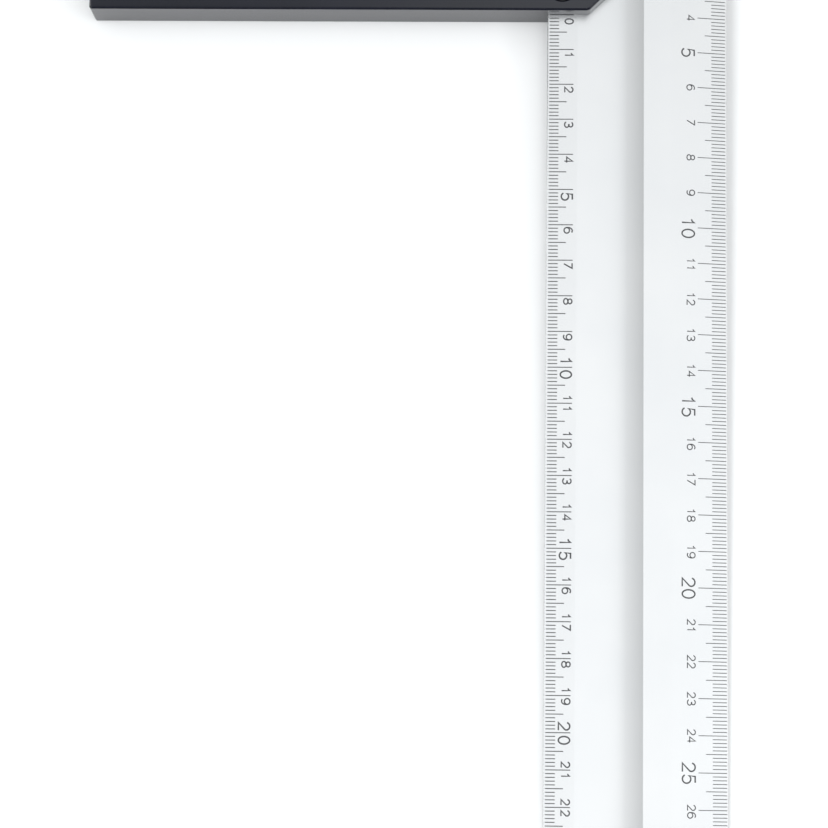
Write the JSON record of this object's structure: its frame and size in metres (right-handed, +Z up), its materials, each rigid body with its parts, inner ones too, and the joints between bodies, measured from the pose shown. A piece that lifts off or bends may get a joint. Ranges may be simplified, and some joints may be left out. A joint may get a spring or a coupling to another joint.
{
  "type": "carpenter square",
  "caption": "Rigid try square: a bevelled aluminium blade with printed centimetre scales, screwed into a slotted black anodised stock with a 45 degree mitred end.",
  "frame": {"origin": "foot of the inside corner: on the plane that the stock lies on, where the stock's working face meets the blade's inner edge", "axes": "+Z up from the stock's underside, +Y from the working face towards the outer face, so the blade runs to -Y, and +X across the blade, so the stock runs to -X"},
  "size_m": [0.1783, 0.3003, 0.013],
  "materials": {
    "stock_anodised": "black anodised, satin",
    "blade_anodised": "clear anodised, fine satin, dark printed scales",
    "screw_steel": "black oxide"
  },
  "bodies": {
    "root": {"stock": "stock_anodised", "blade": "blade_anodised", "screw_inner": "screw_steel", "screw_heel": "screw_steel", "screw_mitre": "screw_steel"}
  },
  "joints": []
}
